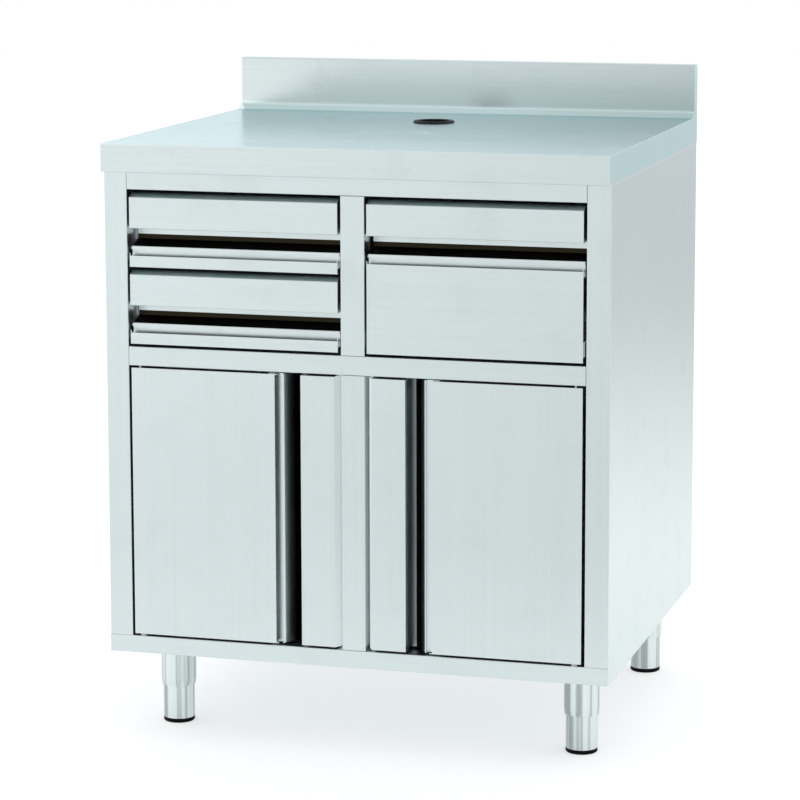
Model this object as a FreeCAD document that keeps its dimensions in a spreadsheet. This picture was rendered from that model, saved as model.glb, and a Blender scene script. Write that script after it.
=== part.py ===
"""Waiter service station in folded stainless sheet: worktop with upstand, two drawers, one deep
drawer, two pivoted doors, a shelf and four adjustable legs. Millimetres, +Z up, the front faces
-Y, and the origin lies on the floor under the middle of the worktop."""

import FreeCAD, Part
import math
import os

import Sketcher

Vector = FreeCAD.Vector
doc = FreeCAD.newDocument("service_station")

# ---------------------------------------------------------------- driving dimensions
SIZES = {
    # overall
    "width": 800, "depth": 700,
    "leg_height": 140.5, "base_height": 27.5, "door_opening": 430.5, "middle_rail_height": 30,
    "drawer_opening": 245, "top_rail_height": 27.5, "fascia_height": 44,
    "upstand_height": 88, "upstand_thickness": 22, "cove_depth": 20, "cove_height": 9,
    "front_overhang": 14, "rear_setback": 2,
    # sheet thicknesses and folds
    "top_sheet": 1.5, "body_sheet": 1.2, "front_sheet": 1.0, "edge_lip": 15, "seam": 0.4,
    "post_width": 37, "frame_return": 25, "catch_return": 53, "mullion_width": 38,
    "panel_flange": 30, "back_flange": 20,
    # fronts
    "front_proud": 2, "post_gap": 4.5, "mullion_gap": 4, "drawer_gap": 5.5,
    "drawer_bottom_gap": 4.5, "door_top_gap": 3, "door_bottom_gap": 4,
    "front_depth": 38, "rear_lip": 12, "bevel_depth": 12, "bevel_height": 6.5, "strip_hem": 10,
    "drawer_strip": 48, "door_strip": 54, "recess_opening": 37, "drawer_slope": 70.5,
    "door_slope": 55, "roll_radius": 7, "roll_inset": 3.5,
    # drawer boxes
    "box_sheet": 1.0, "box_rim": 8, "box_below": 11, "box_above": 20, "box_wall_gap": 0.2,
    "runner_from_bottom": 36, "deep_box_above": 40,
    # runners
    "runner_length": 480, "runner_height": 45, "runner_depth": 12.8, "runner_sheet": 1.5,
    "runner_play": 0.6, "runner_step": 2.2, "runner_setback": 2,
    "outer_lip": 9, "middle_lip": 8.3, "inner_lip": 8.2,
    # doors
    "pivot_inset": 12, "pivot_setback": 6, "pivot_diameter": 4.5, "pivot_play": 0.3,
    "pivot_grip": 16, "pivot_reach": 6, "pivot_block": 22, "washer_diameter": 10,
    "catch_width": 44, "catch_height": 20, "catch_thickness": 13, "catch_offset": 40,
    "strike_thickness": 1.5, "strike_height": 14, "catch_gap": 0.3,
    # shelf and stiffeners
    "shelf_height": 205, "shelf_sheet": 1.2, "shelf_edge": 25, "shelf_front": 42,
    "shelf_side_gap": 4, "bearer_width": 22, "stiffener_width": 60, "stiffener_depth": 25,
    "stiffener_flange": 14, "stiffener_inset": 150,
    # legs
    "leg_side_inset": 67.5, "front_leg_inset": 138, "rear_leg_inset": 62,
    "leg_plate_width": 90, "leg_plate_thickness": 3, "leg_diameter": 56, "leg_wall": 1.5,
    "leg_taper": 10, "sleeve_bottom": 61, "foot_diameter": 50, "foot_play": 0.4,
    "foot_travel": 40, "foot_guide": 10, "pad_height": 7, "pad_chamfer": 1.5,
    # cable grommet
    "grommet_y": 134, "grommet_hole": 60, "grommet_flange": 68, "grommet_bore": 52,
    "grommet_lip": 3, "grommet_depth": 14,
}

sheet = doc.addObject("Spreadsheet::Sheet", "dims")
for row, (alias, number) in enumerate(SIZES.items(), 1):
    sheet.set("A%d" % row, alias)
    sheet.set("B%d" % row, str(number))
    sheet.setAlias("B%d" % row, alias)
doc.recompute()


class Size:
    """A length with its number and the spreadsheet expression that gives it."""

    def __init__(self, number, text=None):
        self.number = float(number)
        self.text = text if text else repr(float(number))

    def _join(self, other, sign, number):
        return Size(number, "(%s %s %s)" % (self.text, sign, size(other).text))

    def __add__(self, other):
        return self._join(other, "+", self.number + size(other).number)

    def __sub__(self, other):
        return self._join(other, "-", self.number - size(other).number)

    def __mul__(self, other):
        return self._join(other, "*", self.number * size(other).number)

    def __truediv__(self, other):
        return self._join(other, "/", self.number / size(other).number)

    def __radd__(self, other):
        return size(other) + self

    def __rsub__(self, other):
        return size(other) - self

    def __rmul__(self, other):
        return size(other) * self

    def __neg__(self):
        return size(0) - self


def size(value):
    return value if isinstance(value, Size) else Size(value)


def trig(function, angle):
    """The sine, cosine or tangent of an angle in degrees, as a number and as an expression."""
    number = getattr(math, function)(math.radians(angle.number))
    return Size(number, "%s(%s)" % (function, angle.text))


def dim(alias):
    return Size(sheet.get(alias), "dims." + alias)


def dims(*aliases):
    return [dim(alias) for alias in aliases]


# ---------------------------------------------------------------- levels and planes shared by all
width, depth, top_sheet, skin, face_sheet, seam = dims(
    "width", "depth", "top_sheet", "body_sheet", "front_sheet", "seam")
x_out = width / 2
x_post = x_out - dim("post_width")
x_mullion = dim("mullion_width") / 2
y_worktop = -depth / 2
y_post = y_worktop + dim("front_overhang")
y_rear = depth / 2 - dim("rear_setback")
y_face = y_post - dim("front_proud")
z_base = dim("leg_height")
z_floor = z_base + dim("base_height")
z_middle = z_floor + dim("door_opening")
z_deck = z_middle + dim("middle_rail_height")
z_rail = z_deck + dim("drawer_opening")
z_under = z_rail + dim("top_rail_height")
z_top = z_under + dim("fascia_height")
z_upstand = z_top + dim("upstand_height")

x_front_in = x_mullion + dim("mullion_gap")
x_front_out = x_post - dim("post_gap")
front_width = x_front_out - x_front_in
x_front = (x_front_in + x_front_out) / 2
x_column = (x_mullion + x_post) / 2
y_front_rear = y_face + dim("front_depth") + face_sheet
y_back = y_rear - skin
y_inner = y_post + dim("frame_return") + seam

X_AXIS = FreeCAD.Rotation(Vector(1, 1, 1), 120)   # local x, y, z lie along Y, Z, X
Y_AXIS = FreeCAD.Rotation(Vector(1, 0, 0), 90)    # local x, y, z lie along X, Z, -Y
Z_AXIS = FreeCAD.Rotation()

parts = {}


# ---------------------------------------------------------------- building blocks
def bind(obj, prop, value):
    value = size(value)
    obj.setExpression(prop, value.text)


def place(obj, position, rotation=Z_AXIS):
    obj.Placement = FreeCAD.Placement(Vector(*[size(v).number for v in position]), rotation)
    for axis, value in zip("xyz", position):
        bind(obj, "Placement.Base." + axis, value)
    return obj


def keep(obj, label):
    obj.Label = label
    parts[label] = obj
    return obj


def sketch_path(name, points, closed=False, bends=None, body=None, plane=None):
    """A sketched run of straight lines through points, each point held by two distances from the
    origin. bends maps the index of a line to a radius, where that line is an arc instead."""
    bends = bends or {}
    points = [(size(x), size(y)) for x, y in points]
    if body:
        sk = body.newObject("Sketcher::SketchObject", name)
        origin = [o for o in body.Origin.OriginFeatures if o.Role == plane][0]
        sk.AttachmentSupport = [(origin, "")]
        sk.MapMode = "FlatFace"
    else:
        sk = doc.addObject("Sketcher::SketchObject", name)
    flat = [Vector(x.number, y.number, 0) for x, y in points]
    count = len(points) if closed else len(points) - 1
    for i in range(count):
        a, b = flat[i], flat[(i + 1) % len(points)]
        if i in bends:
            r = bends[i].number
            half = (b - a).Length / 2
            side = Vector(b.y - a.y, a.x - b.x, 0).normalize()
            middle = (a + b) / 2 - side * (r - math.sqrt(r * r - half * half))
            sk.addGeometry(Part.Arc(a, middle, b), False)
        else:
            sk.addGeometry(Part.LineSegment(a, b), False)
    ends = {i: (1, 2) for i in range(count)}
    for i in bends:
        if (sk.Geometry[i].StartPoint - flat[i]).Length > 1e-6:
            ends[i] = (2, 1)
    for i in range(count if closed else count - 1):
        j = (i + 1) % count
        sk.addConstraint(Sketcher.Constraint("Coincident", i, ends[i][1], j, ends[j][0]))
    for i, (x, y) in enumerate(points):
        line, end = (i, ends[i][0]) if i < count else (count - 1, ends[count - 1][1])
        for kind, value in (("DistanceX", x), ("DistanceY", y)):
            at = sk.addConstraint(Sketcher.Constraint(kind, -1, 1, line, end, value.number))
            name_at = "%s%d" % (kind[-1].lower(), i)
            sk.renameConstraint(at, name_at)
            bind(sk, "Constraints." + name_at, value)
    for i, radius in bends.items():
        at = sk.addConstraint(Sketcher.Constraint("Radius", i, radius.number))
        sk.renameConstraint(at, "bend%d" % i)
        bind(sk, "Constraints.bend%d" % i, radius)
    return sk


def extrude(name, source, length, position, rotation):
    solid = doc.addObject("Part::Extrusion", name)
    solid.Base = source
    solid.DirMode = "Custom"
    solid.Dir = Vector(0, 0, 1)
    solid.Solid = True
    bind(solid, "LengthFwd", length)
    return place(solid, position, rotation)


def offset(name, source, distance, join, fill):
    shifted = doc.addObject("Part::Offset2D", name)
    shifted.Source = source
    shifted.Mode = "Skin"
    shifted.Join = join
    shifted.Fill = fill
    bind(shifted, "Value", distance)
    return shifted


def fold(name, points, thickness, length, position, rotation, bends=None):
    """Sheet metal folded along points, with its thickness on the right of the way they run. Going
    to the far face and back with arc joins rounds the outside of every bend, whichever way it
    turns, by one sheet thickness."""
    run = sketch_path(name + "_path", points, bends=bends)
    far_face = offset(name + "_far_face", run, thickness, "Arc", False)
    section = offset(name + "_sheet", far_face, -thickness, "Arc", True)
    return extrude(name, section, length, position, rotation)


def plate(name, outline, thickness, position, rotation, bends=None):
    """A flat sheet set into the end of a fold, its edge welded halfway through the folded sheet."""
    return extrude(name, sketch_path(name + "_outline", outline, closed=True, bends=bends),
                   thickness, position, rotation)


def box(name, corner, extent):
    solid = doc.addObject("Part::Box", name)
    for prop, value in zip(("Length", "Width", "Height"), extent):
        bind(solid, prop, value)
    return place(solid, corner)


def rod(name, centre, radius, height):
    solid = doc.addObject("Part::Cylinder", name)
    bind(solid, "Radius", radius)
    bind(solid, "Height", height)
    return place(solid, centre)


def fuse(name, pieces):
    joined = doc.addObject("Part::MultiFuse", name)
    joined.Shapes = pieces
    joined.Refine = True
    return joined


def cut(name, base, tool):
    result = doc.addObject("Part::Cut", name)
    result.Base = base
    result.Tool = tool
    return result


def group(name, pieces):
    together = doc.addObject("Part::Compound", name)
    together.Links = pieces
    return together


def mirror(name, source, plane_x=0):
    other = doc.addObject("Part::Mirroring", name)
    other.Source = source
    other.Normal = Vector(1, 0, 0)
    bind(other, "Base.x", plane_x)
    return other


def turned(name, outline, position):
    """A body revolved about its own Z axis from an outline of (radius, height) points."""
    body = doc.addObject("PartDesign::Body", name)
    profile = sketch_path(name + "_profile", outline, closed=True, body=body, plane="XZ_Plane")
    doc.recompute()
    turn = body.newObject("PartDesign::Revolution", name + "_turn")
    turn.Profile = profile
    turn.ReferenceAxis = (profile, ["V_Axis"])
    turn.Angle = 360
    body.Tip = turn
    return place(body, position)


# ---------------------------------------------------------------- worktop
def make_worktop():
    lip = dim("edge_lip")
    y_back_edge = depth / 2
    y_up = y_back_edge - dim("upstand_thickness")
    y_cove = y_up - dim("cove_depth")
    z_cove = z_top + dim("cove_height")
    run = [(y_worktop + lip, z_under), (y_worktop, z_under), (y_worktop, z_top), (y_cove, z_top),
           (y_up, z_cove), (y_up, z_upstand), (y_back_edge, z_upstand), (y_back_edge, z_under),
           (y_back_edge - lip, z_under)]
    pieces = [fold("worktop_fold", run, top_sheet, width, (-x_out, 0, 0), X_AXIS)]
    h = top_sheet / 2
    end = [(y_worktop + h, z_under), (y_worktop + h, z_top - h), (y_cove, z_top - h),
           (y_up + h, z_cove), (y_up + h, z_upstand - h), (y_back_edge - h, z_upstand - h),
           (y_back_edge - h, z_under)]
    for side, x in (("left", -x_out), ("right", x_out - top_sheet)):
        pieces.append(plate("worktop_end_" + side, end, top_sheet, (x, 0, 0), X_AXIS))
    for side, x in (("left", -x_out), ("right", x_out - lip)):
        pieces.append(box("worktop_lip_" + side, (x, y_worktop + h, z_under),
                          (lip, depth - top_sheet, top_sheet)))
    hole = rod("cable_hole", (0, dim("grommet_y"), z_top - 2 * top_sheet),
               dim("grommet_hole") / 2, 4 * top_sheet)
    keep(cut("worktop_cut", fuse("worktop_shell", pieces), hole), "worktop")

    w, d, f = dims("stiffener_width", "stiffener_depth", "stiffener_flange")
    for label, y in (("worktop_stiffener_front", y_worktop + dim("stiffener_inset")),
                     ("worktop_stiffener_rear", y_up - dim("stiffener_inset") / 2)):
        z = z_top - top_sheet
        hat = [(y - w / 2 - f, z), (y - w / 2, z), (y - w / 2, z - d), (y + w / 2, z - d),
               (y + w / 2, z), (y + w / 2 + f, z)]
        half = x_out - lip - seam
        keep(fold(label + "_hat", hat, skin, half * 2, (-half, 0, 0), X_AXIS), label)


def make_grommet():
    outer, hole, bore = (dim(n) / 2 for n in ("grommet_flange", "grommet_hole", "grommet_bore"))
    up, down = dim("grommet_lip"), dim("grommet_depth")
    play = dim("seam") / 2
    outline = [(bore, -down), (hole - play, -down), (hole - play, 0), (outer, 0),
               (outer, up / 2), (outer - up / 2, up), (bore + up / 2, up), (bore, up / 2)]
    keep(turned("grommet_ring", outline, (0, dim("grommet_y"), z_top)), "cable_grommet")


# ---------------------------------------------------------------- carcass
def make_side_panels():
    flange = dim("panel_flange")
    run = [(x_out - flange, y_rear), (x_out, y_rear), (x_out, y_post), (x_post, y_post),
           (x_post, y_post + dim("frame_return"))]
    right = fold("side_panel_fold", run, skin, z_under - z_floor, (0, 0, z_floor), Z_AXIS)
    keep(right, "side_panel_right")
    keep(mirror("side_panel_mirror", right), "side_panel_left")


def make_back_panel():
    flange = dim("back_flange")
    run = [(y_back - flange, z_under), (y_back, z_under), (y_back, z_floor),
           (y_back - flange, z_floor)]
    half = x_out - skin - seam
    keep(fold("back_panel_fold", run, skin, half * 2, (-half, 0, 0), X_AXIS), "back_panel")


def make_base_tray():
    lip = dim("edge_lip")
    run = [(y_post + lip, z_base), (y_post, z_base), (y_post, z_floor), (y_rear, z_floor),
           (y_rear, z_base), (y_rear - lip, z_base)]
    pieces = [fold("base_fold", run, skin, width, (-x_out, 0, 0), X_AXIS)]
    length = y_rear - y_post - skin
    for side, x, x_lip in (("left", -x_out, -x_out), ("right", x_out - skin, x_out - lip)):
        pieces.append(box("base_end_" + side, (x, y_post + skin / 2, z_base),
                          (skin, length, dim("base_height") - skin / 2)))
        pieces.append(box("base_lip_" + side, (x_lip, y_post + skin / 2, z_base),
                          (lip, length, skin)))
    play = dim("pivot_play")
    holes = [rod("base_pivot_hole_" + side, (sign * x_pivot, y_pivot, z_floor - 2 * skin),
                 dim("pivot_diameter") / 2 + play, 4 * skin)
             for side, sign in (("left", -1), ("right", 1))]
    keep(cut("base_cut", fuse("base_shell", pieces), group("base_holes", holes)), "base_tray")

    w, d, f = dims("stiffener_width", "stiffener_depth", "stiffener_flange")
    z = z_floor - skin
    d = dim("base_height") - 2 * skin - seam
    hat = [(-w / 2 - f, z), (-w / 2, z), (-w / 2, z - d), (w / 2, z - d), (w / 2, z),
           (w / 2 + f, z)]
    y_far = y_rear - lip - seam
    keep(fold("base_hat", hat, skin, y_far - (y_post + lip + seam), (0, y_far, 0), Y_AXIS),
         "base_stiffener")


def make_rails():
    half = x_post - seam
    back = dim("frame_return")
    top = [(y_post + back, z_rail), (y_post, z_rail), (y_post, z_under), (y_post + back, z_under)]
    keep(fold("top_rail_fold", top, skin, half * 2, (-half, 0, 0), X_AXIS), "top_rail")
    middle = [(y_post + dim("catch_return"), z_middle), (y_post, z_middle), (y_post, z_deck),
              (y_post + back, z_deck)]
    blank = fold("middle_rail_fold", middle, skin, half * 2, (-half, 0, 0), X_AXIS)
    holes = [rod("rail_pivot_hole_" + side, (sign * x_pivot, y_pivot, z_middle - skin),
                 dim("pivot_diameter") / 2 + dim("pivot_play"), 3 * skin)
             for side, sign in (("left", -1), ("right", 1))]
    keep(cut("middle_rail_cut", blank, group("rail_holes", holes)), "middle_rail")


def make_mullions():
    run = [(x_mullion, y_post + dim("frame_return")), (x_mullion, y_post), (-x_mullion, y_post),
           (-x_mullion, y_post + dim("frame_return"))]
    for label, low, high in (("upper_mullion", z_deck, z_rail), ("lower_mullion", z_floor, z_middle)):
        keep(fold(label + "_fold", run, skin, high - low - 2 * seam, (0, 0, low + seam), Z_AXIS),
             label)


def make_runner_walls():
    y_far = y_back - skin - seam
    run = [(-x_mullion, y_inner), (-x_mullion, y_far), (x_mullion, y_far), (x_mullion, y_inner)]
    keep(fold("partition_fold", run, skin, z_rail - z_deck, (0, 0, z_deck), Z_AXIS),
         "centre_partition")
    wall = [(x_post, y_inner), (x_post, y_far), (x_out - skin - seam, y_far)]
    right = fold("runner_panel_fold", wall, skin, z_rail - z_deck, (0, 0, z_deck), Z_AXIS)
    keep(right, "runner_panel_right")
    keep(mirror("runner_panel_mirror", right), "runner_panel_left")


def make_shelf():
    edge, t = dims("shelf_edge", "shelf_sheet")
    y_near, y_far = y_front_rear + dim("shelf_front"), y_back - skin - dim("shelf_side_gap")
    z = z_floor + dim("shelf_height")
    half = x_out - skin - dim("shelf_side_gap")
    run = [(y_near, z - edge), (y_near, z), (y_far, z), (y_far, z - edge)]
    keep(fold("shelf_fold", run, t, half * 2, (-half, 0, 0), X_AXIS), "shelf")
    x_wall, z_seat = x_out - skin, z - t
    angle = [(x_wall - dim("bearer_width"), z_seat), (x_wall, z_seat), (x_wall, z_seat - edge)]
    start, stop = y_near + t + seam, y_far - t - seam
    right = fold("bearer_right", angle, skin, stop - start, (0, stop, 0), Y_AXIS)
    keep(group("bearers", [right, mirror("bearer_left", right)]), "shelf_bearers")


# ---------------------------------------------------------------- drawer and door fronts
def front_shell(name, height, strip, lean, length):
    """The folded skin shared by drawers and doors, lying on its own axes: X along the pull, +Y
    into the cabinet from the face and +Z from the plain edge to the strip. From the plain edge
    the sheet runs up the face, rolls back down a slope to the rear wall of the finger recess,
    returns over the top, drops down the bevel and ends as the flush strip with its hem."""
    t, v, lip = face_sheet, dim("front_depth"), dim("rear_lip")
    bevel_v, bevel_u, radius = dims("bevel_depth", "bevel_height", "roll_radius")
    reach = radius * trig("tan", lean / 2)
    u_strip = height - bevel_u - strip
    u_roll = u_strip - dim("recess_opening") + dim("roll_inset")
    u_wall = u_roll + v / trig("tan", lean)
    x_end, u_end = reach * trig("sin", lean), u_roll + reach * trig("cos", lean)
    run = [(v + t, lip), (v + t, 0), (0, 0), (0, u_roll - reach), (x_end, u_end), (v, u_wall),
           (v, height - t), (bevel_v, height - t), (t, height - bevel_u - t / 2),
           (t, u_strip + t), (dim("strip_hem"), u_strip + t)]
    pieces = [fold(name + "_fold", run, t, length, (-length / 2, 0, 0), X_AXIS, {3: radius})]
    h = t / 2
    in_x, in_u = h * trig("cos", lean), h * trig("sin", lean)
    panel_end = [(v + h, h), (h, h), (h, u_roll - reach), (x_end + in_x, u_end - in_u),
                 (v + in_x, u_wall - in_u), (v + h, u_wall - in_u)]
    strip_end = [(v + h, u_strip + h), (v + h, height - h), (bevel_v, height - h),
                 (h, height - bevel_u - h / 2), (h, u_strip + h)]
    for side, x in (("a", -length / 2), ("b", length / 2 - t)):
        pieces.append(plate("%s_panel_end_%s" % (name, side), panel_end, t, (x, 0, 0), X_AXIS,
                            {2: radius - h}))
        pieces.append(plate("%s_strip_end_%s" % (name, side), strip_end, t, (x, 0, 0), X_AXIS))
    return fuse(name + "_shell", pieces)


def make_drawer(number, centre, z_low, height, above):
    """One drawer: the folded front, the box behind it and the three members of its runners."""
    label = "drawer_%d" % number
    sign = 1 if centre.number > 0 else -1
    front = front_shell(label, height, *dims("drawer_strip", "drawer_slope"), front_width)
    keep(place(front, (sign * x_front, y_face, z_low)), label + "_front")

    t, rim = dims("box_sheet", "box_rim")
    half = (x_post - x_mullion) / 2 - dim("runner_depth") - dim("box_wall_gap")
    z_box = z_low + dim("box_below")
    tall = height - dim("box_below") - above
    section = [(half - rim, tall), (half, tall), (half, 0), (-half, 0), (-half, tall),
               (rim - half, tall)]
    length = dim("runner_length") - t
    trough = fold(label + "_trough", section, t, length, (centre, y_front_rear + length, z_box),
                  Y_AXIS)
    ends = [box("%s_wall_%s" % (label, side), (centre - half, y, z_box), (2 * half, t, tall))
            for side, y in (("front", y_front_rear), ("rear", y_front_rear + length - t))]
    keep(fuse(label + "_box_shell", [trough] + ends), label + "_box")
    make_runners(label, centre, z_box + dim("runner_from_bottom"))


def make_runners(label, centre, z):
    """Three nested channels on each side, open towards each other, with the play of the balls."""
    t, play, step, high, deep = dims("runner_sheet", "runner_play", "runner_step", "runner_height",
                                     "runner_depth")
    wall = centre + (x_post - x_mullion) / 2
    inner_wall = wall - deep
    length = dim("runner_length")
    sections = {}
    half = high / 2
    sections["outer"] = (wall, -dim("outer_lip"), half)
    half = half - t - play
    sections["middle"] = (wall - step, -dim("middle_lip"), half)
    half = half - t - play
    sections["inner"] = (inner_wall, dim("inner_lip"), half)
    for member, (x, lip, tall) in sections.items():
        run = [(x + lip, z + tall), (x, z + tall), (x, z - tall), (x + lip, z - tall)]
        if member == "inner":
            run.reverse()
        name = "%s_runner_%s" % (label, member)
        y_end = y_front_rear + dim("runner_setback") + length
        one = fold(name + "_fold", run, t, length, (0, y_end, 0), Y_AXIS)
        keep(group(name + "_pair", [one, mirror(name + "_mirror", one, centre)]), name)


def make_drawers():
    gap, low_gap = dims("drawer_gap", "drawer_bottom_gap")
    deep = dim("drawer_opening") - gap - low_gap
    small = (deep - gap) / 2
    make_drawer(1, -x_column, z_rail - gap - small, small, dim("box_above"))
    make_drawer(2, -x_column, z_deck + low_gap, small, dim("box_above"))
    make_drawer(3, x_column, z_deck + low_gap, deep, dim("deep_box_above"))


x_pivot = x_front_out - dim("pivot_inset")
y_pivot = y_post + dim("pivot_setback")
z_door = z_floor + dim("door_bottom_gap")
z_door_top = z_middle - dim("door_top_gap")


def make_door(side, sign):
    """One door: the same fold turned upright, its inner sheet, two pivots and the strike."""
    label = "door_" + side
    tall = z_door_top - z_door
    shell = front_shell(label, front_width, *dims("door_strip", "door_slope"), tall)
    turn = FreeCAD.Rotation(Vector(0, 1, 0), -90 * sign)
    place(shell, (sign * x_front_out, y_face, (z_door + z_door_top) / 2), turn)
    radius = dim("pivot_diameter") / 2
    t = face_sheet
    holes = [rod("%s_hole_%s" % (label, end), (sign * x_pivot, y_pivot, z),
                 radius + dim("pivot_play") / 2, 4 * t)
             for end, z in (("low", z_door - t), ("high", z_door_top - 3 * t))]
    keep(cut(label + "_cut", shell, group(label + "_holes", holes)), label + "_skin")

    edge = 2 * t
    keep(box(label + "_sheet", (sign * x_front - front_width / 2 + edge, y_front_rear, z_door + edge),
             (front_width - 2 * edge, t, tall - 2 * edge)), label + "_inner_sheet")

    block, grip, reach = dims("pivot_block", "pivot_grip", "pivot_reach")
    pieces = []
    for end, z_block, z_pin, length in (
            ("low", z_door + t, z_door - dim("door_bottom_gap") - reach,
             dim("door_bottom_gap") + reach + t + grip),
            ("high", z_door_top - t - grip, z_door_top - t - grip,
             dim("door_top_gap") + reach + t + grip)):
        body = box("%s_block_%s" % (label, end),
                   (sign * (x_front_out - t - block / 2) - block / 2, y_face + t, z_block),
                   (block, block, grip))
        pin = rod("%s_pin_%s" % (label, end), (sign * x_pivot, y_pivot, z_pin), radius, length)
        pieces.append(fuse("%s_pivot_%s" % (label, end), [body, pin]))
    keep(group(label + "_pivot_pair", pieces), label + "_pivots")

    w, h = dim("catch_width"), dim("strike_height")
    x = sign * dim("catch_offset") + (-w if sign < 0 else 0)
    keep(box(label + "_strike_plate", (x, y_front_rear + t, z_door_top - edge - h),
             (w, dim("strike_thickness"), h)), label + "_strike")


def make_door_fittings():
    radius = dim("pivot_diameter") / 2 + dim("pivot_play") / 2
    washers, catches = [], []
    y = y_front_rear + face_sheet + dim("strike_thickness") + dim("catch_gap")
    w = dim("catch_width")
    for side, sign in (("left", -1), ("right", 1)):
        ring = turned("washer_" + side,
                      [(radius, 0), (dim("washer_diameter") / 2, 0),
                       (dim("washer_diameter") / 2, dim("door_bottom_gap") - dim("pivot_play")),
                       (radius, dim("door_bottom_gap") - dim("pivot_play"))],
                      (sign * x_pivot, y_pivot, z_floor))
        washers.append(ring)
        x = sign * dim("catch_offset") + (-w if sign < 0 else 0)
        catches.append(box("catch_" + side, (x, y, z_middle - dim("catch_height")),
                           (w, dim("catch_thickness"), dim("catch_height"))))
    keep(group("washer_pair", washers), "pivot_washers")
    keep(group("catch_pair", catches), "magnetic_catches")


# ---------------------------------------------------------------- legs
def make_leg(label, x, y):
    """A fixed sleeve with its mounting plate, the sliding foot tube inside it and the pad."""
    outer, wall, taper, play = dims("leg_diameter", "leg_wall", "leg_taper", "foot_play")
    foot = dim("foot_diameter") / 2
    outer = outer / 2
    low, plate_z = dim("sleeve_bottom"), z_floor - skin - dim("leg_plate_thickness")
    side = dim("leg_plate_width")
    sleeve = turned(label + "_sleeve",
                    [(outer - wall, plate_z), (outer - wall, low + taper), (foot + play, low),
                     (foot + play + wall, low), (outer, low + taper), (outer, plate_z)], (x, y, 0))
    square = box(label + "_plate", (x - side / 2, y - side / 2, plate_z),
                 (side, side, dim("leg_plate_thickness")))
    keep(fuse(label + "_weldment", [sleeve, square]), label)

    pad, guide = dim("pad_height"), dim("foot_guide")
    top = low + taper + dim("foot_travel") + guide
    tube = [(0, pad), (foot, pad), (foot, top - guide), (outer - wall - play, top - guide),
            (outer - wall - play, top), (foot - wall, top), (foot - wall, pad + wall),
            (0, pad + wall)]
    keep(turned(label + "_tube", tube, (x, y, 0)), label + "_foot")
    bevel = dim("pad_chamfer")
    disc = [(0, 0), (foot - bevel, 0), (foot, bevel), (foot, pad), (0, pad)]
    keep(turned(label + "_disc", disc, (x, y, 0)), label + "_pad")


def make_legs():
    x = x_out - dim("leg_side_inset")
    y_near, y_far = y_worktop + dim("front_leg_inset"), depth / 2 - dim("rear_leg_inset")
    for label, sign, y in (("leg_front_left", -1, y_near), ("leg_front_right", 1, y_near),
                           ("leg_rear_left", -1, y_far), ("leg_rear_right", 1, y_far)):
        make_leg(label, sign * x, y)


# ---------------------------------------------------------------- assemble, check and write
make_worktop()
make_grommet()
make_side_panels()
make_back_panel()
make_base_tray()
make_rails()
make_mullions()
make_runner_walls()
make_shelf()
make_drawers()
make_door("left", -1)
make_door("right", 1)
make_door_fittings()
make_legs()

doc.recompute()
for obj in doc.Objects:
    if "Invalid" in obj.State or "Error" in obj.State:
        raise RuntimeError("%s failed: %s" % (obj.Name, obj.State))
os.makedirs("parts", exist_ok=True)
for label, obj in parts.items():
    shape = obj.Shape
    if shape.isNull() or not shape.isValid() or not shape.Solids:
        raise RuntimeError("%s has no valid solid" % label)
    shape.exportStep("parts/%s.step" % label)
    print("%-26s solids %d  volume %.1f" % (label, len(shape.Solids), shape.Volume))
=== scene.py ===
# %% [markdown]
# # A waiter service station in ground stainless steel
#
# The construction comes in as a fixed frame: every folded sheet, runner and leg is already
# there at its real size. This lesson gives those pieces their finishes, adds the small things
# that hold them together, and sets up the studio. Everything is in metres, +Z is up, and the
# front of the station faces -Y.

import math

import bpy
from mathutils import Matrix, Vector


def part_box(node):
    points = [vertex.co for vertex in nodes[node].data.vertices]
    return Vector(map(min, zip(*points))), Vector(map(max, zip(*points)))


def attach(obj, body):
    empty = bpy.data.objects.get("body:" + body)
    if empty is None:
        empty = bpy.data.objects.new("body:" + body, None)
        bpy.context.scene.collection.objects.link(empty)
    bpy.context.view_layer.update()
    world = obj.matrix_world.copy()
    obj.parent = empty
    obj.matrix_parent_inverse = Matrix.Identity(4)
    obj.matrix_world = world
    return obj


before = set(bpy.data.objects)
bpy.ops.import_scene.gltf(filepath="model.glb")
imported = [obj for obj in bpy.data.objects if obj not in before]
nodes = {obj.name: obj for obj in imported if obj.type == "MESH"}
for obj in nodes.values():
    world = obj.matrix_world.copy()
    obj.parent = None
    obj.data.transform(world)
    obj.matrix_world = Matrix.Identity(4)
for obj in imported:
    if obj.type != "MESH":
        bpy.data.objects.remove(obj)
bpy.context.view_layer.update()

# %% [markdown]
# ## The camera and the studio
#
# The station stands on a white sweep. A long lens from far away keeps the edges nearly
# parallel, as catalogue pictures do. The camera comes first, because every later decision about
# grain size and gloss is judged through it.

# %% The camera
camera_data = bpy.data.cameras.new("camera")
camera = bpy.data.objects.new("camera", camera_data)
bpy.context.collection.objects.link(camera)
camera_data.sensor_width = 36
camera_data.lens = 138.8
camera_data.shift_y = -0.125
camera.location = (1.3385, -4.7678, 1.3931)
camera.rotation_euler = (math.radians(81.663), math.radians(0.12), math.radians(15.894))
camera_data.clip_end = 60
bpy.context.scene.camera = camera
bpy.context.scene.view_settings.view_transform = "Standard"
print("the camera is", round(camera.location.length, 2), "m away")

# %% [markdown]
# ## Writing shader maths as Python
#
# Blender builds a material from nodes joined by wires. Three small classes let the maths be
# written as plain expressions: a `Wire` is an output socket that understands + - * /, a
# `Shading` is a node tree with one method that adds any node, and a `Finish` is a material.

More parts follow.
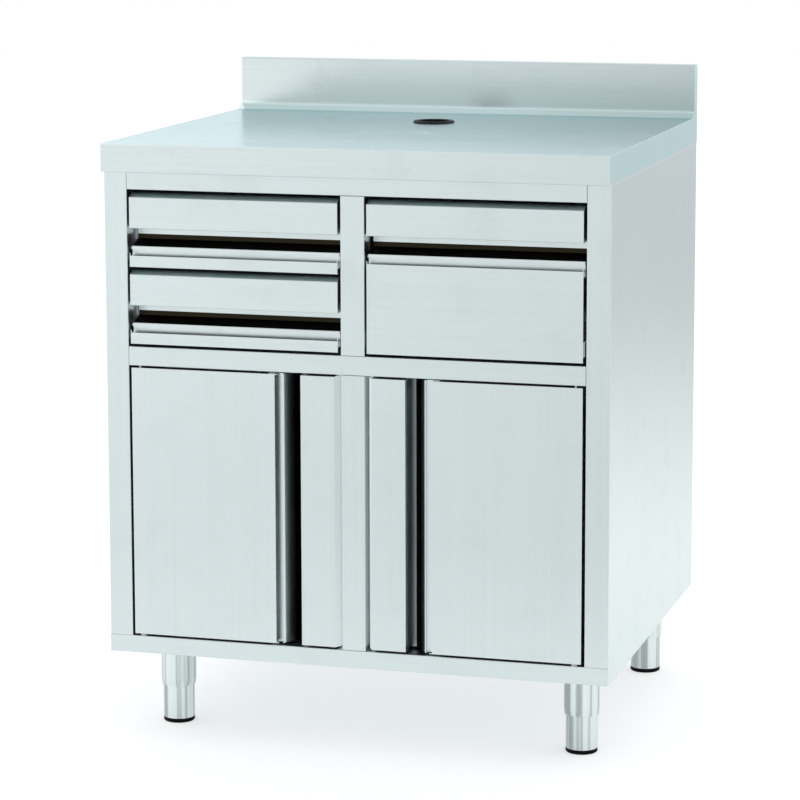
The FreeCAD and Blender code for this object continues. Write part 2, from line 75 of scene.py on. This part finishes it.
# %% Wires and finishes
class Wire:
    """An output socket of a shader node. Arithmetic on it adds Math nodes."""

    def __init__(self, shading, socket):
        self.shading, self.socket = shading, socket

    def _math(self, operation, *terms):
        return self.shading.node("ShaderNodeMath", {"operation": operation}, dict(enumerate(terms)))

    def __add__(self, other):
        return self._math("ADD", self, other)

    def __sub__(self, other):
        return self._math("SUBTRACT", self, other)

    def __rsub__(self, other):
        return self._math("SUBTRACT", other, self)

    def __mul__(self, other):
        return self._math("MULTIPLY", self, other)

    def __lt__(self, other):
        return self._math("LESS_THAN", self, other)

    __radd__ = __add__
    __rmul__ = __mul__


class Shading:
    """A shader node tree of a material or of the world."""

    def __init__(self, tree):
        self.tree = tree

    def node(self, kind, settings=None, sockets=None, output=0):
        """Adds a node: its settings first, then the values or wires of its sockets."""
        made = self.tree.nodes.new(kind)
        for name, value in (settings or {}).items():
            setattr(made, name, value)
        for name, value in (sockets or {}).items():
            self.join(made.inputs[name], value)
        return Wire(self, made.outputs[output])

    def join(self, socket, value):
        if isinstance(value, Wire):
            self.tree.links.new(value.socket, socket)
        else:
            socket.default_value = value

    def spread(self, value, low, high, to_low=0.0, to_high=1.0):
        """The value mapped from low..high to to_low..to_high and held there."""
        return self.node("ShaderNodeMapRange", {"clamp": True},
                         {"Value": value, "From Min": low, "From Max": high,
                          "To Min": to_low, "To Max": to_high})

    def mix(self, factor, first, second):
        """A colour between first and second. The Mix node keeps its colour sockets at 6 and 7."""
        return self.node("ShaderNodeMix", {"data_type": "RGBA"},
                         {0: factor, 6: first, 7: second}, output=2)


class Finish(Shading):
    """A material whose Principled shader is fed by wires."""

    def __init__(self, name, colour, metallic, roughness, **uniform):
        self.material = bpy.data.materials.new(name)
        self.material.use_nodes = True
        super().__init__(self.material.node_tree)
        self.shader = next(n for n in self.tree.nodes if n.type == "BSDF_PRINCIPLED")
        self.shader.inputs["Base Color"].default_value = (*colour, 1)
        self.shader.inputs["Metallic"].default_value = metallic
        self.shader.inputs["Roughness"].default_value = roughness
        for socket, value in uniform.items():
            self.shader.inputs[socket.replace("_", " ")].default_value = value
        self.place = self.node("ShaderNodeTexCoord", output="Object")
        self.split = self.tree.nodes.new("ShaderNodeSeparateXYZ")
        self.join(self.split.inputs[0], self.place)

    def at(self, axis):
        """The Object coordinate along x, y or z (0, 1 or 2), in metres."""
        return Wire(self, self.split.outputs[axis])

    def feed(self, **sockets):
        for name, value in sockets.items():
            self.join(self.shader.inputs[name.replace("_", " ")], value)
        return self

    def noise(self, stretch, detail=2.0, roughness=0.5, offset=0.0):
        """Noise on Object coordinates, stretch times per metre along x, y and z."""
        at = self.node("ShaderNodeMapping", {}, {"Vector": self.place, "Scale": stretch,
                                                 "Location": (offset, offset * 1.7, offset * 0.6)})
        return self.node("ShaderNodeTexNoise", {"noise_dimensions": "3D"},
                         {"Vector": at, "Scale": 1.0, "Detail": detail, "Roughness": roughness})


# %% [markdown]
# ## Ground stainless steel
#
# The sheet is ground with a belt, so fine parallel scratches run one way over each piece. From a
# distance the scratches only blur the reflection along one direction, and broad faint clouds of
# handling and cleaning show in the gloss. The grain is noise stretched a hundredfold along the
# belt's direction. It changes the roughness, the colour a little, and a shallow bump. Every bend of
# the folded sheet also gets a painted highlight, a bright line in its colour where a rounded bend
# would catch the light. The Bevel node finds those bends: where the rounded normal leaves the true
# one, the colour is painted lighter.

# %% The steel finish
# The lighter colour of the painted highlight along every bend.
BEND_HIGHLIGHT_STEEL = (0.93, 0.95, 0.95, 1)


def ground_steel(name, colour, along, roughness=0.30, streak=0.035, cloud=0.03, edge=0.6,
                 painted_shade=None, roll=None, painted_reflection=None, **uniform):
    """Steel with its grain along one axis (0, 1 or 2 for x, y or z).

    Three of the arguments are functions from the finish to a wire. The one for the recesses is 1
    where the sheet is painted nearly black as shade, roll is 1 where it is shaded as if it faced
    the front, and the one for painted reflection multiplies the shade, lighter and darker by place.
    edge is how much lighter every bend is painted, as a highlight.
    """
    steel = Finish(name, colour, 1.0, roughness, **uniform)
    fine = [900.0] * 3
    fine[along] = 6.0
    coarse = [160.0] * 3
    coarse[along] = 1.6
    scratches = steel.noise(fine, detail=3.0, roughness=0.6)
    bands = steel.noise(coarse, detail=2.0, offset=3.1)
    clouds = steel.noise((3.2, 3.2, 3.2), detail=4.0, roughness=0.55, offset=7.7)
    smudges = steel.spread(steel.noise((14.0, 14.0, 14.0), detail=5.0, roughness=0.65, offset=1.3),
                           0.52, 0.74)
    shade = 1 + (bands - 0.5) * (2 * streak) + (clouds - 0.5) * (2 * cloud) - smudges * 0.02
    # A painted reflection, where one is given, multiplies the shade, lighter and darker by place.
    if painted_reflection:
        shade = shade * painted_reflection(steel)
    rounded = steel.node("ShaderNodeBevel", {"samples": 4}, {"Radius": 0.0012})
    turn = steel.node("ShaderNodeVectorMath", {"operation": "DOT_PRODUCT"},
                      {0: rounded, 1: steel.node("ShaderNodeNewGeometry", output="True Normal")},
                      output="Value")
    # Painted highlight: the colour is lightened along the bends that the Bevel node finds, by up to
    # edge.
    bend_highlight = steel.spread(turn, 0.995, 0.90, 0.0, edge)
    if roll:
        outwards = steel.node("ShaderNodeVectorTransform",
                              {"vector_type": "NORMAL", "convert_from": "OBJECT",
                               "convert_to": "WORLD"}, {"Vector": (0, -1, 0)})
        rounded = steel.node("ShaderNodeMix", {"data_type": "VECTOR"},
                             {0: roll(steel), 4: rounded, 5: outwards}, output=1)
    base = steel.mix(shade * 0.5, (0, 0, 0, 1), (*[2 * c for c in colour], 1))
    base = steel.mix(bend_highlight, base, BEND_HIGHLIGHT_STEEL)
    # Painted shade: where the mask is 1, the recess is coloured nearly black.
    if painted_shade:
        base = steel.mix(painted_shade(steel), base, RECESS_SHADE_STEEL)
    steel.feed(
        Base_Color=base,
        Roughness=roughness + (scratches - 0.5) * 0.10 + (clouds - 0.5) * 0.10 + smudges * 0.06,
        Normal=steel.node("ShaderNodeBump", {}, {"Strength": 0.08, "Distance": 0.0004,
                                                 "Height": scratches, "Normal": rounded}))
    return steel.material


# %% [markdown]
# ## One finish for each way the sheet is ground
#
# Sheets are ground along their longer side before they are folded. So the grain runs sideways on
# the worktop, the rails and the drawer fronts, and upwards on the side panels, the doors and the
# mullions. Inside, the sheet keeps its duller mill finish.
#
# Bare steel takes nearly all of its colour from what it mirrors. A real room has dark parts, and
# this pale studio has almost none, so some light and shade is set as masks on Object coordinates:
# the finger recesses are painted nearly black as shade, the worktop and the leg tubes get a painted
# reflection that is not the same all over, and the start of each roll is shaded as if it faced
# forwards. The masks were tuned for the front view. They are fixed on the metal and stand in for
# reflections and shade, so they are not a property of the steel, and a recess stays dark even
# where a lamp would reach into it.

# %% The steel finishes
LIGHT_STEEL = (0.690, 0.768, 0.772)
# The nearly black colour painted into the finger recesses as shade.
RECESS_SHADE_STEEL = (0.022, 0.019, 0.012, 1)
FRONTS_TO_WORKTOP = 0.077    # from the top of the upper fronts up to the flat of the worktop
RECESS_DEPTH = 0.0374
DRAWER_STRIP = 0.0545        # from the top of a drawer front down to the edge of its flush strip
DOOR_STRIP_EDGE = 0.0835     # from the middle of the station out to the edge of a door's strip
ROLL_TOP = 0.029             # the roll lies this far and more from the edge of the flush strip
ROLL_DEPTH = 0.014
# Painted shade: the level of the worktop's fascia, darker than its flat top.
FASCIA_PAINTED_SHADE = 0.92
END_FACE = 0.3995            # the worktop's end faces lie outside this, to the left and right
BACK_FACE = 0.3495
front_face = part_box("drawer_3_front")[0][1]
work_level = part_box("drawer_3_front")[1][2] + FRONTS_TO_WORKTOP
rear_wall = front_face + RECESS_DEPTH
STRIP_EDGES = [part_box("drawer_%d_front" % number)[1][2] - DRAWER_STRIP for number in (1, 2)]


def worktop_painted_reflection(steel):
    """Painted reflection, a shade for each part of the worktop: the fascia, the flat top with a
    brighter front left corner and a duller right side, the cove, the upstand, the end faces and
    the plain back."""
    flat = steel.spread(steel.at(2), work_level - 0.003, work_level - 0.001)
    wall = steel.spread(steel.at(2), work_level + 0.008, work_level + 0.014)
    cove = steel.spread(steel.at(1), 0.306, 0.311)
    right = steel.spread(steel.at(0), 0.05, 0.38)
    corner = steel.spread(steel.at(0), 0.0, -0.38) * steel.spread(steel.at(1), 0.0, -0.34)
    top = 1.07 - right * 0.07 + corner * 0.15 + cove * 0.14
    ends = (1 - (steel.at(0) < END_FACE)) + (steel.at(0) < -END_FACE)
    shade = FASCIA_PAINTED_SHADE + flat * (1 - wall) * (top - FASCIA_PAINTED_SHADE) + wall * (0.04 - right * 0.10)
    return (shade * (steel.at(1) < BACK_FACE) * (1 - ends) + (1 - (steel.at(1) < BACK_FACE))
            + ends * 1.2)


def drawer_painted_shade(steel):
    """Painted shade: 1 on the slope of the recess behind the roll, and on a band of its rear wall.
    """
    slope = steel.spread(steel.at(1), front_face + 0.0085, front_face + 0.013)
    in_front = steel.at(1) < rear_wall
    recess = hidden = 0
    for strip_edge in STRIP_EDGES:
        recess = recess + (1 - (steel.at(2) < strip_edge - ROLL_TOP)) * (
            steel.at(2) < strip_edge)
        hidden = hidden + (1 - (steel.at(2) < strip_edge - 0.024)) * (
            steel.at(2) < strip_edge - 0.0125)
    return slope * in_front * recess + (1 - in_front) * hidden


def door_painted_shade(steel):
    """Painted shade: 1 on the slope of the upright recess and on its rear wall next to the strip.
    On the left door it starts nearer the front and fades in over a longer way."""
    left = steel.at(0) < 0
    slope = steel.spread(steel.at(1), front_face + 0.013 - left * 0.006,
                         front_face + 0.020 + left * 0.005)
    away = steel.node("ShaderNodeMath", {"operation": "ABSOLUTE"}, {0: steel.at(0)})
    wall = steel.spread(away, 0.075, 0.086) * (1 - (steel.at(1) < rear_wall))
    recess = (1 - (away < 0.080)) * (away < DOOR_STRIP_EDGE + ROLL_TOP)
    return slope * (1 - wall) * recess


def roll_at(steel, place, near, far):
    """1 on the roll, where place lies between near and far, 0 deeper in."""
    window = (1 - (place < near)) * (place < far)
    return window * (steel.at(1) < front_face + ROLL_DEPTH)


def drawer_roll(steel):
    """1 on the roll under the recess of each drawer front."""
    rolls = 0
    for strip_edge in STRIP_EDGES:
        rolls = rolls + roll_at(steel, steel.at(2), strip_edge - 0.052, strip_edge - ROLL_TOP)
    return rolls


def door_roll(steel):
    """1 on the roll, and less on the bevel beside the mullion."""
    away = steel.node("ShaderNodeMath", {"operation": "ABSOLUTE"}, {0: steel.at(0)})
    return roll_at(steel, away, DOOR_STRIP_EDGE + ROLL_TOP, 0.136) + (away < 0.0293) * 0.75


def tube_painted_reflection(steel):
    """Broad bright and dull flutes along the tube, in place of what it would mirror."""
    flutes = steel.noise((85.0, 85.0, 0.3), detail=2.0, offset=2.4)
    return steel.spread(flutes, 0.42, 0.56, 0.62, 1.16)


finishes = {
    "worktop": ground_steel("worktop_steel", LIGHT_STEEL, 0, roughness=0.22, painted_reflection=worktop_painted_reflection,
                            Specular_Tint=(0.78, 0.90, 0.93, 1)),
    "upright": ground_steel("upright_steel", LIGHT_STEEL, 2, roughness=0.30),
    "level": ground_steel("level_steel", LIGHT_STEEL, 0, roughness=0.30),
    "drawer": ground_steel("drawer_steel", LIGHT_STEEL, 0, roughness=0.30,
                           painted_shade=drawer_painted_shade, roll=drawer_roll),
    "door": ground_steel("door_steel", LIGHT_STEEL, 2, roughness=0.30, painted_shade=door_painted_shade,
                         roll=door_roll),
    "inner": ground_steel("mill_steel", (0.56, 0.60, 0.60), 1, roughness=0.38, streak=0.05),
    "zinc": ground_steel("zinc_plate", (0.62, 0.66, 0.70), 1, roughness=0.28, streak=0.08),
    "tube": ground_steel("leg_tube", (0.62, 0.68, 0.68), 2, roughness=0.16, streak=0.10,
                         painted_reflection=tube_painted_reflection),
}
print("steel finishes:", ", ".join(finishes))


# %% [markdown]
# ## Black and white plastic
#
# The cable ring and the catches are moulded: a fine eroded texture, a little dust in it, and
# a soft sheen. The pads under the feet are rubber, duller, with the same faint grey film.

# %% The moulded finishes
def moulded(name, colour, roughness, dust, grain=2200.0, **uniform):
    plastic = Finish(name, colour, 0.0, roughness, **uniform)
    pits = plastic.noise((grain,) * 3, detail=2.0)
    film = plastic.spread(plastic.noise((60.0,) * 3, detail=4.0, offset=5.0), 0.45, 0.8)
    plastic.feed(
        Base_Color=plastic.mix(film * dust, (*colour, 1), (0.32, 0.32, 0.31, 1)),
        Roughness=roughness + (pits - 0.5) * 0.2 + film * 0.1,
        Normal=plastic.node("ShaderNodeBump", {}, {"Strength": 0.25, "Distance": 0.0002,
                                                   "Height": pits}))
    return plastic.material


finishes["black_plastic"] = moulded("black_plastic", (0.006, 0.007, 0.009), 0.42, 0.02,
                                    Specular_IOR_Level=0.15)
finishes["rubber"] = moulded("black_rubber", (0.004, 0.004, 0.004), 0.62, 0.02, grain=900.0,
                             Specular_IOR_Level=0.08)
finishes["nylon"] = moulded("white_nylon", (0.72, 0.70, 0.64), 0.45, 0.05)


# %% Dress every piece of the frame
def finish_of(name):
    if name == "worktop":
        return "worktop"
    if name in ("cable_grommet", "magnetic_catches"):
        return "black_plastic"
    if name.endswith("_pad"):
        return "rubber"
    if name == "pivot_washers":
        return "nylon"
    if "_runner_" in name or name.endswith(("_strike", "_pivots")):
        return "zinc"
    if name.startswith("leg_"):
        return "tube"
    if name.endswith("_front"):
        return "drawer"
    if name.endswith("_skin"):
        return "door"
    if name in ("top_rail", "middle_rail", "base_tray"):
        return "level"
    if name.startswith("side_panel") or name.endswith("_mullion"):
        return "upright"
    return "inner"


def dress(piece, material):
    piece.data.materials.clear()
    piece.data.materials.append(material)


for name, piece in nodes.items():
    dress(piece, finishes[finish_of(name)])
print("dressed", len(nodes), "pieces")

# %% [markdown]
# ## The small fixings, as Geometry Nodes
#
# Hexagon bolts hold the leg plates under the base, blind rivets close the back and the door
# linings, and flat screws hold the runners, catches and drawer fronts. A fixing is the same small
# shape many times over, so each kind is one node tree. It takes loose points that know which way
# they face, turns one modelled head to each point, spins it by a seeded random angle as a fitter
# would leave it, and makes the copies real.

# %% A class that builds a node tree
class Pattern:
    """A Geometry Nodes tree: loose points with a facing go in, heads on those points come out."""

    def __init__(self, name, sizes):
        self.tree = bpy.data.node_groups.new(name, "GeometryNodeTree")
        faces = self.tree.interface
        faces.new_socket("Points", in_out="INPUT", socket_type="NodeSocketGeometry")
        for label, value in sizes.items():
            size = faces.new_socket(label, in_out="INPUT", socket_type="NodeSocketFloat")
            size.default_value = value
        faces.new_socket("Finish", in_out="INPUT", socket_type="NodeSocketMaterial")
        faces.new_socket("Heads", in_out="OUTPUT", socket_type="NodeSocketGeometry")
        self.given = self.tree.nodes.new("NodeGroupInput")

    def given_by(self, label):
        return self.given.outputs[label]

    def node(self, kind, settings=None, sockets=None, output=0):
        made = self.tree.nodes.new(kind)
        for name, value in (settings or {}).items():
            setattr(made, name, value)
        for name, value in (sockets or {}).items():
            for one in value if isinstance(value, list) else [value]:
                if isinstance(one, bpy.types.NodeSocket):
                    self.tree.links.new(one, made.inputs[name])
                else:
                    made.inputs[name].default_value = one
        return made.outputs[output]

    def times(self, socket, number):
        return self.node("ShaderNodeMath", {"operation": "MULTIPLY"}, {0: socket, 1: number})

    def lifted(self, part, height):
        """The part moved along its own axis."""
        at = self.node("ShaderNodeCombineXYZ", {}, {"Z": height})
        return self.node("GeometryNodeTransform", {}, {"Geometry": part, "Translation": at})

    def disc(self, sides, radius, height):
        """A closed drum that stands on the point."""
        drum = self.node("GeometryNodeMeshCylinder", {},
                         {"Vertices": sides, "Radius": radius, "Depth": height})
        return self.lifted(drum, self.times(height, 0.5))

    def close(self, head, seed):
        """Puts the head on every point, turned to its facing and spun about it."""
        facing = self.node("GeometryNodeInputNamedAttribute", {"data_type": "FLOAT_VECTOR"},
                           {"Name": "facing"})
        turned = self.node("FunctionNodeAlignRotationToVector", {"axis": "Z"}, {"Vector": facing})
        angle = self.node("FunctionNodeRandomValue", {"data_type": "FLOAT"},
                          {"Min": 0.0, "Max": 6.283, "Seed": seed}, output=1)
        spin = self.node("FunctionNodeAxisAngleToRotation", {}, {"Axis": (0, 0, 1), "Angle": angle})
        both = self.node("FunctionNodeRotateRotation", {"rotation_space": "LOCAL"},
                         {"Rotation": turned, "Rotate By": spin})
        copies = self.node("GeometryNodeInstanceOnPoints", {},
                           {"Points": self.given_by("Points"), "Instance": head, "Rotation": both})
        real = self.node("GeometryNodeRealizeInstances", {}, {"Geometry": copies})
        dressed = self.node("GeometryNodeSetMaterial", {},
                            {"Geometry": real, "Material": self.given_by("Finish")})
        output = self.tree.nodes.new("NodeGroupOutput")
        self.tree.links.new(dressed, output.inputs["Heads"])
        return self.tree


# %% [markdown]
# ### A blind rivet
#
# A rivet's head is a low dome with the broken end of its mandrel in the middle. A round ball is
# flattened below its middle by moving every point under the sheet up to the sheet, so that the
# dome is closed by a flat underside.

# %% The rivet
rivet = Pattern("blind_rivets", {"Head Radius": 0.003, "Head Height": 0.0011})
radius, height = rivet.given_by("Head Radius"), rivet.given_by("Head Height")
ball = rivet.node("GeometryNodeMeshUVSphere", {}, {"Segments": 14, "Rings": 8, "Radius": 1.0})
scale = rivet.node("ShaderNodeCombineXYZ", {}, {"X": radius, "Y": radius, "Z": height})
dome = rivet.node("GeometryNodeTransform", {}, {"Geometry": ball, "Scale": scale})
where = rivet.node("GeometryNodeInputPosition")
above = rivet.node("ShaderNodeVectorMath", {"operation": "MAXIMUM"}, {0: where, 1: (-1, -1, 0)})
dome = rivet.node("GeometryNodeSetPosition", {}, {"Geometry": dome, "Position": above})
stub = rivet.disc(10, rivet.times(radius, 0.32), rivet.times(height, 1.12))
rivet_tree = rivet.close(rivet.node("GeometryNodeJoinGeometry", {}, {"Geometry": [dome, stub]}), 3)
print("the rivet tree has", len(rivet_tree.nodes), "nodes")

# %% [markdown]
# ### A hexagon bolt
#
# The head is a six-sided drum on a thin round washer, with a smaller round crown on it where a
# real head is chamfered.

# %% The bolt
bolt = Pattern("hexagon_bolts", {"Head Radius": 0.0058, "Head Height": 0.004,
                                 "Washer Radius": 0.0068})
radius, height = bolt.given_by("Head Radius"), bolt.given_by("Head Height")
washer = bolt.disc(24, bolt.given_by("Washer Radius"), 0.0012)
hexagon = bolt.disc(6, radius, height)
crown = bolt.node("GeometryNodeMeshCone", {},
                  {"Vertices": 20, "Radius Top": bolt.times(radius, 0.70),
                   "Radius Bottom": bolt.times(radius, 0.84), "Depth": 0.0005})
crown = bolt.lifted(crown, height)
bolt_tree = bolt.close(bolt.node("GeometryNodeJoinGeometry", {},
                                 {"Geometry": [washer, hexagon, crown]}), 5)

# %% [markdown]
# ### A cross-head screw
#
# The low head narrows towards its top. The driver's cross is cut out of it by a boolean with two
# crossed bars, which costs little because it is done once, before the head is copied.

# %% The screw
screw = Pattern("cross_head_screws", {"Head Radius": 0.0034, "Head Height": 0.0016})
radius, height = screw.given_by("Head Radius"), screw.given_by("Head Height")
head = screw.node("GeometryNodeMeshCone", {},
                  {"Vertices": 20, "Radius Top": screw.times(radius, 0.72),
                   "Radius Bottom": radius, "Depth": height})
bars = []
for long, wide in ((1.0, 0.22), (0.22, 1.0)):
    bar_size = screw.node("ShaderNodeCombineXYZ", {}, {"X": screw.times(radius, long),
                                                       "Y": screw.times(radius, wide),
                                                       "Z": height})
    bars.append(screw.lifted(screw.node("GeometryNodeMeshCube", {}, {"Size": bar_size}),
                             screw.times(height, 0.8)))
cut = screw.node("GeometryNodeMeshBoolean", {"operation": "DIFFERENCE"},
                 {"Mesh 1": head, "Mesh 2": bars})
screw_tree = screw.close(cut, 7)

# %% [markdown]
# ### A weld bead
#
# Each leg's sleeve is welded to its plate. A hand weld is a row of overlapping puddles, so small
# balls, each a little larger or smaller at random, are set round a circle, a little closer than
# they are wide.

# %% The weld
weld = Pattern("weld_beads", {"Ring Radius": 0.0285, "Puddle Radius": 0.0022})
radius, puddle = weld.given_by("Ring Radius"), weld.given_by("Puddle Radius")
ring = weld.node("GeometryNodeMeshCircle", {}, {"Vertices": 72, "Radius": radius})
drop = weld.node("GeometryNodeMeshIcoSphere", {}, {"Radius": puddle, "Subdivisions": 2})
size = weld.node("FunctionNodeRandomValue", {"data_type": "FLOAT"},
                 {"Min": 0.85, "Max": 1.15, "Seed": 11}, output=1)
beads = weld.node("GeometryNodeInstanceOnPoints", {}, {"Points": ring, "Instance": drop,
                                                       "Scale": size})
weld_tree = weld.close(weld.node("GeometryNodeRealizeInstances", {}, {"Geometry": beads}), 13)


# %% Placing a pattern
def fix(name, body, tree, places, finish, slot, **sizes):
    """Heads on places, a list of points and the directions they face, as one piece."""
    mesh = bpy.data.meshes.new(name)
    mesh.from_pydata([point for point, facing in places], [], [])
    facings = mesh.attributes.new("facing", "FLOAT_VECTOR", "POINT")
    facings.data.foreach_set("vector", [c for point, facing in places for c in facing])
    piece = bpy.data.objects.new(name, mesh)
    bpy.context.collection.objects.link(piece)
    modifier = piece.modifiers.new("pattern", "NODES")
    modifier.node_group = tree
    inputs = {item.name: item.identifier for item in tree.interface.items_tree
              if item.in_out == "INPUT"}
    modifier[inputs["Finish"]] = finishes[finish]
    for label, value in sizes.items():
        modifier[inputs[label.replace("_", " ")]] = value
    graph = bpy.context.evaluated_depsgraph_get()
    solid = bpy.data.meshes.new_from_object(piece.evaluated_get(graph))
    piece.modifiers.remove(modifier)
    piece.data = solid
    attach(piece, body)
    print(name, "has", len(places), "heads and", len(solid.polygons), "faces")
    return piece


def rows(*axes):
    """Every combination of the numbers given for x, y and z."""
    return [(x, y, z) for x in axes[0] for y in axes[1] for z in axes[2]]


# %% [markdown]
# ## Setting the fixings
#
# Every position is worked out from the box of the piece that the fixing holds, so a head always
# lies on its sheet.

# %% Bolts and welds on the legs
LEGS = ("leg_front_left", "leg_front_right", "leg_rear_left", "leg_rear_right")
PLATE_THICKNESS = 0.003
BOLT_REACH = 0.036           # from the leg's axis to a bolt, along x and along y
bolts, welds = [], []
for leg in LEGS:
    low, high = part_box(leg)
    middle = [(low[i] + high[i]) / 2 for i in range(2)]
    plate = high[2] - PLATE_THICKNESS
    bolts += rows((middle[0] - BOLT_REACH, middle[0] + BOLT_REACH),
                  (middle[1] - BOLT_REACH, middle[1] + BOLT_REACH), (plate,))
    welds.append((middle[0], middle[1], plate))
fix("leg_bolts", "cabinet", bolt_tree, [(p, (0, 0, -1)) for p in bolts], "zinc", "runner_steel")
fix("leg_welds", "cabinet", weld_tree, [(p, (0, 0, -1)) for p in welds], "inner", "inner_steel")

# %% Rivets down the back
low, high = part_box("side_panel_right")
back = high[1]
heights = [low[2] + 0.035 + i * (high[2] - low[2] - 0.07) / 7 for i in range(8)]
places = rows((-0.385, 0.385), (back,), heights)
fix("back_rivets", "cabinet", rivet_tree, [(p, (0, 1, 0)) for p in places], "zinc", "runner_steel")

# %% Rivets under the shelf
low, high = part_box("shelf_bearers")
wall = high[0] - 0.0012
reach = [low[1] + 0.05 + i * (high[1] - low[1] - 0.1) / 4 for i in range(5)]
places = [((side * wall, y, low[2] + 0.009), (-side, 0, 0)) for side in (-1, 1) for y in reach]
fix("bearer_rivets", "cabinet", rivet_tree, places, "zinc", "runner_steel")

# %% Screws in the drawers
for number in (1, 2, 3):
    low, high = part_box("drawer_%d_box" % number)
    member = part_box("drawer_%d_runner_inner" % number)
    level = (member[0][2] + member[1][2]) / 2
    inside = [((side, y, level), (turn, 0, 0)) for y in (-0.25, -0.06, 0.13)
              for side, turn in ((low[0] + 0.001, 1), (high[0] - 0.001, -1))]
    middle = (low[0] + high[0]) / 2
    z_rows = (low[2] + 0.02, high[2] - 0.02)
    inside += [((middle + x, low[1] + 0.001, z), (0, 1, 0)) for x in (-0.11, 0.11) for z in z_rows]
    fix("drawer_%d_screws" % number, "drawer_%d" % number, screw_tree, inside, "zinc",
        "runner_steel")

# %% Rivets and screws on the doors
for side, sign in (("left", -1), ("right", 1)):
    low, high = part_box("door_%s_inner_sheet" % side)
    x_rows = [low[0] + 0.014 + i * (high[0] - low[0] - 0.028) / 3 for i in range(4)]
    z_rows = [low[2] + 0.014 + i * (high[2] - low[2] - 0.028) / 4 for i in range(5)]
    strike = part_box("door_%s_strike" % side)
    ring = [(x, high[1], z) for x in x_rows for z in z_rows
            if (x in (x_rows[0], x_rows[-1]) or z in (z_rows[0], z_rows[-1]))
            and not (strike[0][0] - 0.01 < x < strike[1][0] + 0.01 and z > 0.57)]
    fix("door_%s_rivets" % side, "door_" + side, rivet_tree, [(p, (0, 1, 0)) for p in ring],
        "zinc", "runner_steel", Head_Radius=0.0024, Head_Height=0.0008)
    middle = (strike[0][0] + strike[1][0]) / 2
    level = (strike[0][2] + strike[1][2]) / 2
    held = [((middle + x, strike[1][1], level), (0, 1, 0)) for x in (-0.015, 0.015)]
    fix("door_%s_screws" % side, "door_" + side, screw_tree, held, "zinc", "runner_steel",
        Head_Radius=0.0024, Head_Height=0.0007)

# %% Screws under the catches
low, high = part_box("magnetic_catches")
y = (low[1] + high[1]) / 2
held = [((side * 0.062 + x, y, low[2]), (0, 0, -1)) for side in (-1, 1) for x in (-0.013, 0.013)]
fix("catch_screws", "cabinet", screw_tree, held, "zinc", "runner_steel",
    Head_Radius=0.0024, Head_Height=0.0008)

# %% [markdown]
# ## The floor and the light
#
# The floor is white paper that melts into the background. It lights up by itself to the camera
# and in reflections, so that only the soft shadow under the station shows. The steel also needs
# something to mirror, so in reflections the floor is brighter in front on the left, and darker
# in front on the right and far behind on the right. The world is dimmer by up to a quarter in
# front, between the horizon and high overhead, for every ray but the camera's own.

# %% The studio
bpy.ops.mesh.primitive_plane_add(size=30)
floor = bpy.context.object
floor.name = "floor"
paper = Finish("white_paper", (0.58, 0.60, 0.60), 0.0, 0.9)
rays = paper.tree.nodes.new("ShaderNodeLightPath")
mirrored = Wire(paper, rays.outputs["Is Glossy Ray"])
seen = paper.node("ShaderNodeMath", {"operation": "MAXIMUM"},
                  {0: Wire(paper, rays.outputs["Is Camera Ray"]), 1: mirrored})
ahead = paper.spread(paper.at(1), -0.8, -1.8)
left = paper.spread(paper.at(0), -0.6, -3.0)
right = paper.spread(paper.at(0), -2.8, 0.2)
corner = paper.spread(paper.at(1), 1.2, 4.5) * paper.spread(paper.at(0), 0.2, 0.9)
light = seen * 0.55 + mirrored * (ahead * left * 0.14 - ahead * right * 0.30 - corner * 0.45)
glow = paper.node("ShaderNodeEmission", {}, {"Color": (1, 1, 1, 1), "Strength": light})
both = paper.node("ShaderNodeAddShader", {}, {0: Wire(paper, paper.shader.outputs[0]), 1: glow})
output = next(n for n in paper.tree.nodes if n.type == "OUTPUT_MATERIAL")
paper.join(output.inputs["Surface"], both)
dress(floor, paper.material)

world = bpy.data.worlds.new("studio")
bpy.context.scene.world = world
world.use_nodes = True
walls = Shading(world.node_tree)
way = walls.tree.nodes.new("ShaderNodeSeparateXYZ")
walls.join(way.inputs[0], walls.node("ShaderNodeTexCoord", output="Generated"))
facing_front = walls.spread(Wire(walls, way.outputs[1]), 0.2, -0.6)
above = walls.spread(Wire(walls, way.outputs[2]), 0.0, 0.10)
overhead = walls.spread(Wire(walls, way.outputs[2]), 0.85, 0.5)
straight = Wire(walls, walls.tree.nodes.new("ShaderNodeLightPath").outputs["Is Camera Ray"])
dimmed = (1 - straight) * facing_front * above * overhead * 0.25
background = next(n for n in world.node_tree.nodes if n.type == "BACKGROUND")
background.inputs["Color"].default_value = (1, 1, 1, 1)
walls.join(background.inputs["Strength"], 1 - dimmed)
print("studio ready")
